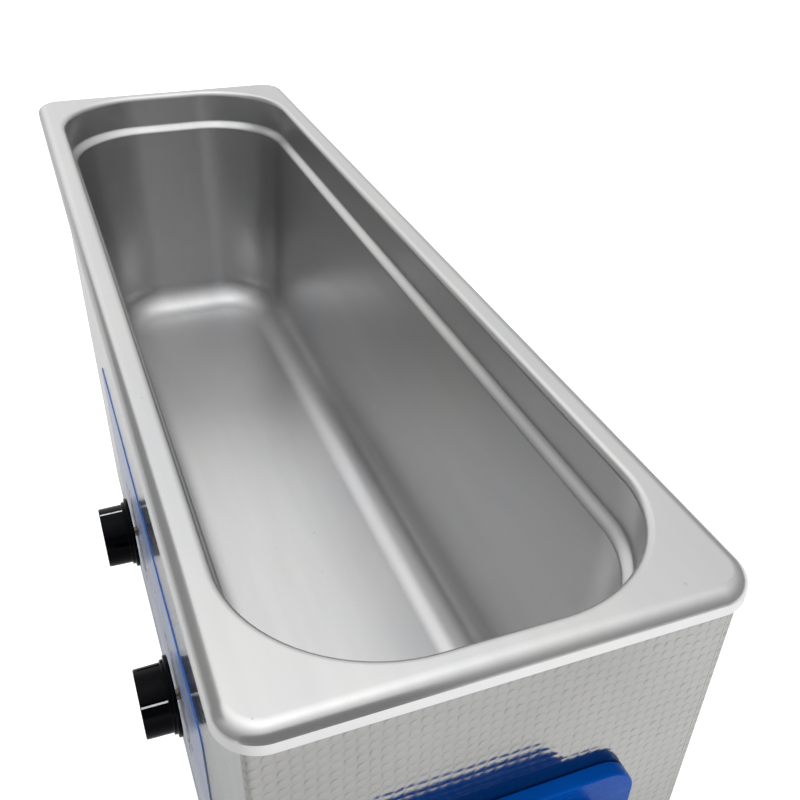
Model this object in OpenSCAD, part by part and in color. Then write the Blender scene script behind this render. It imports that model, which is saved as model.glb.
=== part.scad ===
// Bench-top heated ultrasonic cleaner with a long gastronorm tank.
// +X is the right-hand end seen from the front, -Y the front, +Z up. The feet stand on z = 0.

/* [Tank] */
// Length over the tank's rim
rim_l = 530; // [520:1:545]
// Width over the tank's rim
rim_w = 162; // [160:1:170]
// Corner radius of the rim
rim_r = 14; // [12:1:18]
// Length of the tank's throat
throat_l = 508; // [500:1:510]
// Width of the tank's throat
throat_w = 137; // [132:1:138]
// Corner radius of the throat
throat_r = 50; // [46:1:52]
// Depth from the top of the rim to the tank's floor
tank_depth = 150; // [140:1:155]
// Draft angle of the walls under the ledge
wall_draft = 3; // [1:0.5:4]
// Radius between the walls and the floor
floor_fillet = 20; // [14:1:24]
// Thickness of the tank's sheet
tank_sheet = 1; // [0.8:0.1:1.2]

/* [Housing] */
// Length of the housing
body_l = 521; // [519:1:523]
// Depth of the housing from front to back
body_w = 150; // [149:1:152]
// Height from the underside of the base plate to the top of the rim
body_h = 310; // [300:1:320]
// Height of the feet
foot_h = 12; // [10:1:16]
// Thickness of the housing's sheet
sheet = 1; // [0.8:0.1:1.2]

/* [Controls] */
// Position of the timer's knob along the front
timer_x = -73; // [-80:1:-60]
// Position of the thermostat's knob along the front
thermostat_x = 65; // [60:1:80]
// Height of both knobs' axes
knob_z = 107; // [100:1:112]
// Diameter of a knob's grip at its face
knob_d = 37; // [34:1:40]
// Diameter of a knob's skirt
skirt_d = 44; // [42:1:46]
// Length of a knob from its skirt to its face
knob_l = 18.5; // [16:0.5:22]
// Gap between a knob's skirt and the housing
knob_gap = 2.7; // [2:0.1:4]
// Where the thermostat's pointer stands, clockwise from the top
thermostat_set = 47; // [0:1:90]

/* [Label] */
// Length of the front label
label_l = 312; // [300:1:320]
// Height of the front label
label_h = 142; // [136:1:146]
// Height of the label's lower edge
label_z = 42; // [38:1:46]
// Thickness of the label
label_t = 0.5; // [0.3:0.1:0.8]

/* [Handles] */
// Width of a handle's base
handle_w = 100; // [96:1:104]
// Height of a handle's base
handle_h = 52; // [48:1:56]
// Height of the handles' upper edges
handle_top = 252; // [240:1:260]
// How far a handle stands out from the end of the housing
handle_reach = 22; // [20:1:28]

/* [Ultrasonics] */
// Distance between neighbouring transducers
horn_pitch = 120; // [110:1:122]
// Length of a transducer's front mass
horn_h = 28; // [24:1:32]
// Radius of a transducer's front mass against the tank
horn_r = 29.5; // [26:0.5:30]
// Radius of a transducer's ceramic rings
ring_r = 22.5; // [20:0.5:24]

/* [Rear] */
// Position of the fan along the rear
fan_x = -120; // [-130:1:-110]
// Height of the fan's axis
fan_z = 75; // [70:1:80]
// Position of the mains inlet along the rear
inlet_x = 150; // [140:1:170]
// Height of the mains inlet's centre
inlet_z = 78; // [70:1:90]

/* [Hidden] */
$fn = 64;
eps = 0.01;

// Running clearance between a shaft and its bore, and loose clearance beside moving blocks.
running = 0.05;
loose = 0.3;

// Heights and faces of the main boxes.
rim_z = foot_h + body_h;
front_reach = body_w / 2 + knob_gap + knob_l;
rear_reach = rim_w / 2;
body_y = (front_reach - rear_reach) / 2;
front_y = body_y - body_w / 2;
rear_y = body_y + body_w / 2;
end_x = body_l / 2;

// Base plate, flanges and seal.
plate_t = 1.2;
plate_top = foot_h + plate_t;
seal_t = 2.5;
seal_w = 3;
shell_top = rim_z - tank_sheet - seal_t;
shell_h = shell_top - plate_top;
top_flange = 4;
low_flange = 14;
side_flange = 14;
bend_r = 2.5;

// Tank profile, as offsets from the throat's outline and heights below the rim.
mouth_r = 3;
lip_r = 4.5;
lip_h = 8;
ledge_top = -18;
ledge_h = 6;
ledge_in = 4;
ledge_low = ledge_top - ledge_h;
fillet_z = -tank_depth + floor_fillet;
fillet_in = ledge_in + (ledge_low - fillet_z) * tan(wall_draft) + floor_fillet;
tank_under = rim_z - tank_depth - tank_sheet;
corner_steps = 8;

// Screws: shank radius, head radius and head height.
m3_r = 1.5;
m3_head_r = 3;
m3_head_h = 2;
m4_r = 2;
m4_head_r = 4;
m4_head_h = 2.4;
m5_r = 2.5;

// Rim studs and gussets in the housing's four upper corners.
gusset_leg = 26;
gusset_t = 1.5;
stud_in = 10.5;
stud_l = 15;
gusset_z = shell_top - sheet - gusset_t;
stud_x = end_x - sheet - stud_in;
stud_y = body_w / 2 - 2 * sheet - stud_in;
stud_places = [for (x = [-1, 1], y = [-1, 1]) [x * stud_x, body_y + y * stud_y]];

// Feet.
foot_r = 13;
foot_places = [for (x = [-225, 225], y = [-50, 50]) [x, body_y + y]];

// Knobs, shafts and what they turn.
shaft_r = 3;
shaft_bore = 14;
skirt_t = 2.3;
step_r = 20.3;
step_h = 2;
pointer_w = 1.3;
pointer_deep = 0.9;
plate_thin = 1.5;
timer_case = [34, 34, 44];
thermostat_case = [34, 26, 34];
control_stud_l = 8;
control_stud_off = [21, 21];
control_xs = [timer_x, thermostat_x];
lamp_r = 3;
lamp_xs = [-14, 6];
lamp_z = 127;

// Handles: base, and a cup that starts below the base's upper edge and is open underneath.
handle_base_t = 5.5;
handle_base_r = 12;
cup_w = 76;
cup_drop = 11;
cup_r = 10;
cup_plan_r = 14;
cup_edge_r = 8;
cup_wall = 3;
handle_screw_y = 44;
handle_screw_z = [-14, -40];

// Transducers under the tank.
horn_xs = [-1.5, -0.5, 0.5, 1.5] * horn_pitch;
piezo_t = 5;
electrode_t = 0.4;
back_mass_h = 18;
bolt_r = 5;
bolt_head_r = 9;
bolt_head_h = 8;
ring_bore_r = 7.5;
tab_w = 6;
tab_reach = 30;
ring_top = tank_under - horn_h;
stack_low = ring_top - 2 * (piezo_t + electrode_t) - back_mass_h;

// Heater pads, cut-out, bulb.
pad = [220, 2.5, 50];
pad_drop = 90;
glue = 0.15;
cutout_x = -120;
cutout_r = 8;
cutout_h = 6;
bulb_r = 3;
bulb_l = 76;
bulb_x = 162;
bulb_drop = 60;

// Generator board.
board = [160, 92, 1.6];
board_x = -155;
board_z = 25;
board_top = board_z + board[2];
board_holes = [for (h = [[-74, 33], [74, 41]], y = [-1, 1]) [board_x + h[0], body_y + y * h[1]]];
sink_size = [70, 30, 40];
sink_at = [-121, body_y + 26];
sink_face = sink_at[1] - sink_size[1] / 2;
core_at = [-205, body_y + 22];
core_size = [42, 16, 42];
core_limb = 11;
block_size = [26, 11, 12];
block_places = [[-92, body_y - 32], [-92, body_y - 8]];
film_places = [-128, -113];
can_r = 12;
can_h = 38;
can_places = [[-212, body_y - 26], [-184, body_y - 26], [-156, body_y - 26]];

// Fan.
fan_size = 80;
fan_t = 25;
fan_duct_r = 38;
fan_blade_r = 36;
fan_hub_r = 17;
fan_hole = 71.5 / 2;
fan_tube_r = 4;
fan_spindle_r = 1.5;
fan_blades = 7;
guard_wire_r = 0.9;
guard_y = rear_y + guard_wire_r + 0.1;
fan_places = [for (x = [-1, 1], z = [-1, 1]) [fan_x + x * fan_hole, fan_z + z * fan_hole]];

// Mains inlet: flange, body, openings measured from the inlet's centre.
inlet_flange = [50, 3, 58];
inlet_case = [28, 30, 50];
socket_w = 24;
socket_h = 17;
socket_deep = 16;
socket_mid = -0.5;
rocker_w = 20;
rocker_open = 14;
rocker_mid = 16.5;
rocker_half = 5.8;
rocker_tilt = 10;
rocker_pin_r = 1.2;
drawer_w = 22;
drawer_h = 9.6;
drawer_deep = 22;
drawer_mid = -17;
inlet_screw_x = 20;

// Routes of the leads and the capillary, chosen by hand.
lead_r = 0.9;
live_bus = [
    [-92, -25, 42], [-92, -25, 60], [-95, -24, 85], [-110, -24, 115], [-125, -24, 132],
    [-110, -24, 137.6], [-60, -24, 138], [0, -24, 138], [60, -24, 138], [120, -24, 138],
    [185, -24, 138]
];
return_bus = [
    [-87, -25, 42], [-87, -26, 60], [-88, -27, 85], [-92, -28, 110], [-96, -28, 126],
    [-80, -27, 131.5], [-60, -24.2, 132.2], [0, -24, 132.2], [60, -24, 132.2], [120, -24, 132.2],
    [185, -24, 132.2]
];
live_lead = [
    [143, 39, 76], [142, 32, 76], [138, 24, 62], [128, 18, 40], [105, 12, 24],
    [60, 8, 20], [0, 2, 20], [-50, -2, 22], [-66, -1, 30], [-76, 0, 34]
];
neutral_lead = [
    [157, 39, 76], [158, 28, 75], [154, 18, 58], [142, 12, 36], [115, 6, 22],
    [62, 3, 18], [0, -4, 18], [-50, -7, 20], [-66, -6, 30], [-76, -6, 34]
];
capillary = [
    [65, -39, 127], [66, -42, 140], [70, -54, 155], [80, -61, 172],
    [95, -63, 200], [108, -63.2, 235], [114, -61.5, 256], [122, -60, 262]
];

// Outline of a rectangle with round corners, centred on the origin.
module round_rect(l, w, r) {
    square([l - 2 * r, w], center = true);
    square([l, w - 2 * r], center = true);
    for (x = [-1, 1], y = [-1, 1])
        translate([x * (l / 2 - r), y * (w / 2 - r)])
            circle(r);
}

// A bar or plate drawn upright in X and Z, its back at y and its thickness towards -Y.
module upright(y, t) {
    translate([0, y, 0])
        rotate([90, 0, 0])
            linear_extrude(t)
                children();
}

// A round bar along Y from y0 to y1.
module bar_y(r, y0, y1) {
    translate([0, y1, 0])
        rotate([90, 0, 0])
            cylinder(r = r, h = y1 - y0);
}

// A pan-head screw pointing up, its head's underside at z = 0.
module screw_up(shank_r, head_r, head_h, l) {
    cylinder(r = shank_r, h = l);
    translate([0, 0, -head_h])
        cylinder(r1 = head_r * 0.86, r2 = head_r, h = head_h);
}

// A hexagon nut standing on z = 0.
module nut(bore_r, across, h) {
    difference() {
        cylinder(r = across / sqrt(3), h = h, $fn = 6);
        translate([0, 0, -1])
            cylinder(r = bore_r + running, h = h + 2);
    }
}

// Round tube swept along a list of points, with its section carried along without twist.
function unit(v) = v / norm(v);
function across(v, t) = unit(v - (v * t) * t);
function tangent(p, i) = unit(p[min(i + 1, len(p) - 1)] - p[max(i - 1, 0)]);
function carried(p, i, n) =
    i == 0 ? [n] : let (last = carried(p, i - 1, n)) concat(last, [across(last[i - 1], tangent(p, i))]);
function curve(p, steps) = [
    for (i = [0:len(p) - 2], s = [0:steps - 1])
        let (a = p[max(i - 1, 0)], b = p[i], c = p[i + 1])
        let (d = p[min(i + 2, len(p) - 1)], t = s / steps)
        (2 * b + (c - a) * t + (2 * a - 5 * b + 4 * c - d) * t ^ 2 + (3 * b - a - 3 * c + d) * t ^ 3) / 2,
    p[len(p) - 1]
];
module tube(route, r) {
    sides = 8;
    p = curve(route, 3);
    n0 = across(abs(tangent(p, 0)[0]) < 0.9 ? [1, 0, 0] : [0, 1, 0], tangent(p, 0));
    normals = carried(p, len(p) - 1, n0);
    points = [
        for (i = [0:len(p) - 1], k = [0:sides - 1])
            let (a = 360 * k / sides, n = normals[i], b = cross(tangent(p, i), n))
            p[i] + r * (cos(a) * n + sin(a) * b)
    ];
    side_faces = [
        for (i = [0:len(p) - 2], k = [0:sides - 1])
            let (q = i * sides, m = (k + 1) % sides)
            for (f = [[q + k, q + sides + k, q + sides + m], [q + k, q + sides + m, q + m]]) f
    ];
    ends = [[for (k = [0:sides - 1]) k], [for (k = [sides - 1:-1:0]) (len(p) - 1) * sides + k]];
    polyhedron(points, concat(side_faces, ends));
}

/* Tank */

// One closed outline of the tank's surface: half length, half width, corner radius and height.
function throat_ring(o, z) = [throat_l / 2 + o, throat_w / 2 + o, throat_r + o, z];
function rim_ring(o, z) = [rim_l / 2 + o, rim_w / 2 + o, rim_r + o, z];
function floor_ring(a, r) = throat_ring(r * cos(a) - fillet_in, r * sin(a) + fillet_z);
function mouth_ring(a, r) = throat_ring(mouth_r + r * cos(a), r * sin(a) - mouth_r);
function lip_ring(a, r) = rim_ring(r * cos(a) - lip_r, r * sin(a) - lip_r);
function ledge_o(t) = -ledge_in * (1 + cos(180 * t)) / 2;
function ledge_ring(t, o, z) = throat_ring(ledge_o(t) + o, z + ledge_low + ledge_h * t);
function wall_half(z) = throat_w / 2 - ledge_in + tank_sheet - (ledge_low - z) * tan(wall_draft);
tank_rings = concat(
    [for (a = [-90:15:0]) floor_ring(a, floor_fillet)],
    [for (t = [0:0.25:1]) ledge_ring(t, 0, 0)],
    [for (a = [180:-22.5:90]) mouth_ring(a, mouth_r)],
    [for (a = [90:-15:0]) lip_ring(a, lip_r)],
    [rim_ring(0, -lip_h), rim_ring(-tank_sheet, -lip_h)],
    [for (a = [0:30:90]) lip_ring(a, lip_r - tank_sheet)],
    [for (a = [90:30:180]) mouth_ring(a, mouth_r - tank_sheet)],
    [for (t = [1:-0.25:0]) ledge_ring(t, tank_sheet, -tank_sheet / 2)],
    [for (a = [0:-15:-90]) floor_ring(a, floor_fillet + tank_sheet)]
);
function ring_points(g) = [
    for (c = [0:3], s = [0:corner_steps])
        let (a = 90 * (c + s / corner_steps))
        let (sx = c == 0 || c == 3 ? 1 : -1, sy = c < 2 ? 1 : -1)
        [sx * (g[0] - g[2]) + g[2] * cos(a), sy * (g[1] - g[2]) + g[2] * sin(a), g[3]]
];
module tank() {
    n = 4 * (corner_steps + 1);
    last = (len(tank_rings) - 1) * n;
    points = [for (g = tank_rings) each ring_points(g)];
    walls = [
        for (k = [0:len(tank_rings) - 2], i = [0:n - 1])
            let (q = k * n, j = (i + 1) % n)
            for (f = [[q + i, q + j, q + n + j], [q + i, q + n + j, q + n + i]]) f
    ];
    floors = [[for (i = [n - 1:-1:0]) i], [for (i = [0:n - 1]) last + i]];
    color([0.78, 0.78, 0.79])
        translate([0, body_y, rim_z])
            polyhedron(points, concat(walls, floors));
}
module rim_seal() {
    color([0.16, 0.16, 0.17])
        translate([0, body_y, shell_top])
            linear_extrude(seal_t)
                difference() {
                    round_rect(body_l - 1, body_w - 1, bend_r);
                    square([body_l - 2 * seal_w, body_w - 2 * seal_w], center = true);
                }
}
module rim_studs() {
    color([0.72, 0.72, 0.73])
        for (p = stud_places)
            translate([p[0], p[1], rim_z - tank_sheet - stud_l])
                cylinder(r = m5_r, h = stud_l);
}
module rim_nuts() {
    washer_t = 1;
    color([0.7, 0.7, 0.7])
        for (p = stud_places)
            translate([p[0], p[1], gusset_z]) {
                translate([0, 0, -washer_t])
                    difference() {
                        cylinder(r = 5, h = washer_t);
                        translate([0, 0, -1])
                            cylinder(r = m5_r + 0.2, h = 3);
                    }
                translate([0, 0, -washer_t - 4])
                    nut(m5_r, 8, 4);
            }
}
module corner_gussets() {
    color([0.66, 0.67, 0.68])
        for (x = [-1, 1], y = [-1, 1])
            translate([x * (stud_x + stud_in), body_y + y * (stud_y + stud_in), gusset_z])
                difference() {
                    linear_extrude(gusset_t)
                        polygon([
                            [-x * bend_r, 0], [-x * gusset_leg, 0],
                            [0, -y * gusset_leg], [0, -y * bend_r]
                        ]);
                    translate([-x * stud_in, -y * stud_in, -1])
                        cylinder(r = m5_r + 0.3, h = gusset_t + 2);
                }
}

/* Housing */

// Outline of the wrapped sheet: round front corners, open at the rear.
module shell_outline(inset) {
    difference() {
        round_rect(body_l - 2 * inset, body_w - 2 * inset, max(bend_r - inset, 0.5));
        translate([-body_l, body_w / 2 - sheet])
            square([2 * body_l, body_w]);
    }
}
module shell_flange(z, width) {
    translate([0, body_y, z])
        linear_extrude(sheet)
            difference() {
                shell_outline(0);
                translate([-end_x + width, -body_w / 2 + width])
                    square([body_l - 2 * width, 2 * body_w]);
            }
}
rear_screw_x = end_x - sheet - side_flange / 2;
rear_screws = [for (x = [-1, 1], z = [32, 115, 198, 281]) [x * rear_screw_x, z]];
base_screw_xs = [-240, -80, 80, 240];
base_screw_y = body_w / 2 - 8;
handle_screw_places = [for (y = [-1, 1], z = handle_screw_z) [body_y + y * handle_screw_y, handle_top + z]];
module housing_shell() {
    color([0.74, 0.75, 0.76])
        difference() {
            union() {
                translate([0, body_y, plate_top])
                    linear_extrude(shell_h)
                        difference() {
                            shell_outline(0);
                            shell_outline(sheet);
                            translate([-end_x + sheet, 0])
                                square([body_l - 2 * sheet, body_w]);
                        }
                shell_flange(plate_top, low_flange);
                shell_flange(shell_top - sheet, top_flange);
                for (x = [-1, 1])
                    translate([x * (end_x - side_flange / 2 - eps), rear_y - 1.5 * sheet, plate_top + shell_h / 2])
                        cube([side_flange, sheet, shell_h], center = true);
            }
            for (x = control_xs)
                translate([x, 0, knob_z])
                    bar_y(5, front_y - 1, front_y + 2);
            for (x = lamp_xs)
                translate([x, 0, lamp_z])
                    bar_y(lamp_r + 0.1, front_y - 1, front_y + 2);
            for (p = handle_screw_places)
                translate([-body_l, p[0], p[1]])
                    rotate([0, 90, 0])
                        cylinder(r = m4_r + 0.2, h = 2 * body_l);
            for (p = rear_screws)
                translate([p[0], 0, p[1]])
                    bar_y(m3_r + running, rear_y - 3, rear_y);
            for (x = base_screw_xs)
                translate([x, body_y - base_screw_y, foot_h])
                    cylinder(r = m3_r + running, h = 5);
        }
}
module rear_panel() {
    color([0.72, 0.73, 0.74])
        difference() {
            union() {
                translate([-end_x, rear_y - sheet, plate_top])
                    cube([body_l, sheet, shell_h]);
                translate([-end_x + 16, rear_y - low_flange, plate_top])
                    cube([body_l - 32, low_flange - eps, sheet]);
                translate([-end_x + 30, rear_y - top_flange, shell_top - sheet])
                    cube([body_l - 60, top_flange - eps, sheet]);
            }
            translate([fan_x, 0, fan_z])
                bar_y(fan_duct_r, rear_y - 2, rear_y + 1);
            for (p = fan_places)
                translate([p[0], 0, p[1]])
                    bar_y(m4_r + 0.2, rear_y - 2, rear_y + 1);
            for (p = rear_screws)
                translate([p[0], 0, p[1]])
                    bar_y(m3_r + 0.1, rear_y - 2, rear_y + 1);
            translate([inlet_x, rear_y, inlet_z])
                cube([inlet_case[0] + 0.4, 4, inlet_case[2] + 0.4], center = true);
            for (x = [-1, 1])
                translate([inlet_x + x * inlet_screw_x, 0, inlet_z])
                    bar_y(m3_r + 0.1, rear_y - 2, rear_y + 1);
            for (x = base_screw_xs)
                translate([x, body_y + base_screw_y, foot_h])
                    cylinder(r = m3_r + running, h = 5);
        }
}
module rear_panel_screws() {
    color([0.6, 0.6, 0.61])
        for (p = rear_screws)
            translate([p[0], rear_y, p[1]])
                rotate([90, 0, 0])
                    screw_up(m3_r, m3_head_r, m3_head_h, 6);
}
module base_plate() {
    slot_w = 4;
    slot_l = 46;
    color([0.68, 0.69, 0.7])
        translate([0, body_y, foot_h])
            difference() {
                linear_extrude(plate_t)
                    round_rect(body_l - 3, body_w - 3, 3);
                for (x = [20:12:140])
                    translate([x, 0, 0])
                        cube([slot_w, slot_l, 4], center = true);
                for (p = foot_places)
                    translate([p[0], p[1] - body_y, -1])
                        cylinder(r = m4_r + 0.1, h = 4);
                for (p = board_holes)
                    translate([p[0], p[1] - body_y, -1])
                        cylinder(r = m3_r + 0.1, h = 4);
                for (x = base_screw_xs, y = [-1, 1])
                    translate([x, y * base_screw_y, -1])
                        cylinder(r = m3_r + 0.1, h = 4);
            }
}
module base_screws() {
    color([0.6, 0.6, 0.61])
        for (x = base_screw_xs, y = [-1, 1])
            translate([x, body_y + y * base_screw_y, foot_h])
                screw_up(m3_r, m3_head_r, m3_head_h, 5);
}
foot_recess_r = 7;
foot_recess_h = 6;
module feet() {
    color([0.09, 0.09, 0.1])
        for (p = foot_places)
            translate([p[0], p[1], 0])
                rotate_extrude()
                    polygon([
                        [foot_recess_r, 0], [foot_r - 2, 0], [foot_r - 1, 1], [foot_r, foot_h],
                        [m4_r + 0.1, foot_h], [m4_r + 0.1, foot_recess_h], [foot_recess_r, foot_recess_h]
                    ]);
}
module foot_bolts() {
    color([0.6, 0.6, 0.61])
        for (p = foot_places)
            translate([p[0], p[1], 0]) {
                translate([0, 0, foot_recess_h])
                    screw_up(m4_r, m4_head_r, m4_head_h, 13);
                translate([0, 0, plate_top])
                    nut(m4_r, 7, 3.2);
            }
}
module front_label() {
    color([0.78, 0.83, 0.93])
        difference() {
            upright(front_y, label_t)
                translate([0, label_z + label_h / 2])
                    round_rect(label_l, label_h, 8);
            for (x = control_xs)
                translate([x, 0, knob_z])
                    bar_y(5, front_y - 1, front_y + 1);
            for (x = lamp_xs)
                translate([x, 0, lamp_z])
                    bar_y(lamp_r + 0.1, front_y - 1, front_y + 1);
        }
}
module pilot_lamps() {
    color([0.9, 0.45, 0.1])
        for (x = lamp_xs)
            translate([x, 0, lamp_z]) {
                bar_y(lamp_r, front_y - label_t, front_y + 14);
                bar_y(lamp_r + 1.5, front_y + sheet, front_y + sheet + 2);
            }
}

/* Handles */

// A door shape from bottom to top: square feet and round shoulders.
module arch(w, bottom, top, r) {
    translate([-w / 2, bottom])
        square([w, top - r - bottom]);
    translate([r - w / 2, bottom])
        square([w - 2 * r, top - bottom]);
    for (s = [-1, 1])
        translate([s * (w / 2 - r), top - r])
            circle(r);
}
// The cup's shape seen from the end, from above and from the side, as three crossed prisms.
module cup(inset, bottom) {
    w = cup_w - 2 * inset;
    top = -cup_drop - inset;
    reach = handle_reach - inset;
    intersection() {
        translate([-1, 0, 0])
            rotate([90, 0, 90])
                linear_extrude(handle_reach + 2)
                    arch(w, bottom, top, cup_r - inset);
        translate([0, 0, bottom - 1])
            linear_extrude(-bottom)
                rotate(-90)
                    arch(w, -1, reach, cup_plan_r - inset);
        translate([0, handle_w / 2, 0])
            rotate([90, 0, 0])
                linear_extrude(handle_w)
                    arch(2 * reach, bottom - 1, top, cup_edge_r - inset);
    }
}
module handle() {
    color([0.02, 0.2, 0.6])
        difference() {
            union() {
                rotate([90, 0, 90])
                    linear_extrude(handle_base_t)
                        translate([0, -handle_h / 2])
                            round_rect(handle_w, handle_h, handle_base_r);
                intersection() {
                    cup(0, -handle_h);
                    translate([0, -handle_w / 2, -handle_h])
                        cube([handle_reach + 1, handle_w, handle_h]);
                }
            }
            cup(cup_wall, -handle_h - 5);
            for (y = [-1, 1], z = handle_screw_z)
                translate([-1, y * handle_screw_y, z])
                    rotate([0, 90, 0])
                        cylinder(r = m4_r + running, h = handle_base_t);
        }
}
module handle_right() {
    translate([end_x, body_y, handle_top])
        handle();
}
module handle_left() {
    translate([-end_x, body_y, handle_top])
        rotate([0, 0, 180])
            handle();
}
module handle_screws() {
    color([0.6, 0.6, 0.61])
        for (x = [-1, 1], p = handle_screw_places)
            translate([x * (end_x - sheet), p[0], p[1]])
                rotate([0, x * 90, 0])
                    screw_up(m4_r, m4_head_r, m4_head_h, 4.5);
}

/* Controls */

// A skirted knob about the Y axis, its skirt towards the housing and its pointer at the top.
module knob_body() {
    rotate([90, 0, 0])
        rotate_extrude()
            polygon([
                [0, 0], [skirt_d / 2 - 0.5, 0], [skirt_d / 2, 0.5], [skirt_d / 2, skirt_t - 0.4],
                [skirt_d / 2 - 0.6, skirt_t], [step_r, skirt_t], [step_r, skirt_t + step_h],
                [knob_d / 2 + 0.8, skirt_t + step_h], [knob_d / 2, knob_l - 0.8],
                [knob_d / 2 - 0.8, knob_l], [0, knob_l]
            ]);
}
module pointer_slot() {
    translate([-pointer_w / 2, -knob_l - 1, knob_d / 2 - pointer_deep])
        cube([pointer_w, knob_l + 1 - skirt_t - step_h, 3]);
    translate([-pointer_w / 2, -knob_l - 1, 5])
        cube([pointer_w, 1 + pointer_deep, knob_d / 2]);
}
module knob(angle) {
    color([0.03, 0.03, 0.035])
        rotate([0, angle, 0])
            difference() {
                knob_body();
                pointer_slot();
                bar_y(shaft_r + 0.02, -shaft_bore, 1);
            }
}
module pointer(angle) {
    color([0.95, 0.95, 0.95])
        rotate([0, angle, 0])
            intersection() {
                knob_body();
                pointer_slot();
            }
}
module at_knob(x) {
    translate([x, front_y - knob_gap, knob_z])
        children();
}
// A control fixed behind the front: mounting plate, case, and a bush that carries the shaft.
module control(x, size) {
    hollow = 18;
    translate([x, front_y + sheet, knob_z])
        difference() {
            union() {
                translate([-25, 0, -25])
                    cube([50, plate_thin, 50]);
                translate([-size[0] / 2, plate_thin, -size[2] / 2])
                    cube(size);
                bar_y(4.8, -sheet, plate_thin);
                for (t = [-10, 0, 10])
                    translate([t - 0.4, size[1] + plate_thin - eps, size[2] / 2 - 14])
                        cube([0.8, 8, 6.3]);
            }
            bar_y(shaft_r + running, -2, hollow);
            for (s = [-1, 1])
                translate([s * control_stud_off[0], 0, s * control_stud_off[1]])
                    bar_y(m3_r + 0.2, -1, plate_thin + 20);
        }
}
module shaft(x) {
    color([0.78, 0.72, 0.55])
        translate([x, 0, knob_z])
            bar_y(shaft_r, front_y - knob_gap - shaft_bore + 0.5, front_y + sheet + 17);
}
module timer_knob() {
    at_knob(timer_x)
        knob(0);
}
module timer_pointer() {
    at_knob(timer_x)
        pointer(0);
}
module timer_shaft() {
    shaft(timer_x);
}
module timer_body() {
    color([0.85, 0.84, 0.78])
        control(timer_x, timer_case);
}
module thermostat_knob() {
    at_knob(thermostat_x)
        knob(thermostat_set);
}
module thermostat_pointer() {
    at_knob(thermostat_x)
        pointer(thermostat_set);
}
module thermostat_shaft() {
    shaft(thermostat_x);
}
module thermostat_body() {
    color([0.25, 0.25, 0.27])
        control(thermostat_x, thermostat_case);
}
module at_control_studs() {
    for (x = control_xs, s = [-1, 1])
        translate([x + s * control_stud_off[0], front_y + sheet, knob_z + s * control_stud_off[1]])
            children();
}
module control_studs() {
    color([0.72, 0.72, 0.73])
        at_control_studs()
            bar_y(m3_r, 0, control_stud_l);
}
module control_nuts() {
    color([0.7, 0.7, 0.7])
        at_control_studs()
            translate([0, plate_thin + 2.4, 0])
                rotate([90, 0, 0])
                    nut(m3_r, 5.5, 2.4);
}

/* Temperature bulb on the tank's front wall */

bulb_y = body_y - wall_half(-bulb_drop) - bulb_r - 0.3;
module thermostat_bulb() {
    color([0.75, 0.5, 0.32])
        translate([bulb_x - bulb_l / 2, bulb_y, rim_z - bulb_drop])
            rotate([0, 90, 0])
                cylinder(r = bulb_r, h = bulb_l);
}
module thermostat_capillary() {
    color([0.75, 0.5, 0.32])
        tube(capillary, lead_r);
}
module bulb_clips() {
    clip_w = 6;
    clip_h = 10;
    color([0.7, 0.7, 0.71])
        for (x = [-22, 22])
            difference() {
                translate([bulb_x + x, bulb_y, rim_z - bulb_drop])
                    cube([clip_w, 2 * bulb_r + 1.6, clip_h], center = true);
                translate([bulb_x - bulb_l, bulb_y, rim_z - bulb_drop])
                    rotate([0, 90, 0])
                        cylinder(r = bulb_r + 0.1, h = 2 * bulb_l);
                translate([bulb_x, body_y, rim_z - bulb_drop])
                    rotate([wall_draft, 0, 0])
                        cube([bulb_l, 2 * wall_half(-bulb_drop) + 0.6, 4 * clip_h], center = true);
            }
}

/* Transducers */

module at_horns(z) {
    for (x = horn_xs)
        translate([x, body_y, z])
            children();
}
module drilled(r1, r2, h, bore_r) {
    difference() {
        cylinder(r1 = r1, r2 = r2, h = h);
        translate([0, 0, -1])
            cylinder(r = bore_r, h = h + 2);
    }
}
module transducer_horns() {
    neck_h = 10;
    color([0.8, 0.81, 0.83])
        at_horns(ring_top)
            difference() {
                union() {
                    cylinder(r = ring_r, h = neck_h);
                    translate([0, 0, neck_h - eps])
                        cylinder(r1 = ring_r, r2 = horn_r, h = horn_h - neck_h + eps - glue);
                }
                translate([0, 0, -1])
                    cylinder(r = bolt_r + running, h = horn_h - 5);
            }
}
module piezo_rings() {
    color([0.35, 0.36, 0.33])
        for (i = [1, 2])
            at_horns(ring_top - i * piezo_t - (i - 1) * electrode_t)
                drilled(ring_r, ring_r, piezo_t, ring_bore_r);
}
module electrode_discs() {
    color([0.72, 0.45, 0.2])
        for (i = [1, 2])
            at_horns(ring_top - i * (piezo_t + electrode_t)) {
                drilled(ring_r, ring_r, electrode_t, ring_bore_r);
                translate([-tab_w / 2 + (i - 1) * 8, -tab_reach, 0])
                    cube([tab_w, tab_reach - ring_r + 2, electrode_t]);
            }
}
module transducer_back_masses() {
    color([0.55, 0.56, 0.58])
        at_horns(stack_low)
            drilled(ring_r, ring_r, back_mass_h, bolt_r + running);
}
module transducer_bolts() {
    color([0.3, 0.3, 0.32])
        at_horns(stack_low - bolt_head_h) {
            cylinder(r = bolt_head_r, h = bolt_head_h, $fn = 6);
            cylinder(r = bolt_r, h = bolt_head_h + tank_under - stack_low - 8);
        }
}
module transducer_leads() {
    color([0.7, 0.1, 0.08]) {
        tube(live_bus, lead_r);
        tube(return_bus, lead_r);
    }
}
module heater_pads() {
    color([0.6, 0.3, 0.15])
        for (s = [-1, 1])
            translate([0, body_y + s * wall_half(-pad_drop), rim_z - pad_drop])
                rotate([-s * wall_draft, 0, 0])
                    translate([0, s * (glue + pad[1] / 2), 0])
                        cube(pad, center = true);
}
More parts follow.
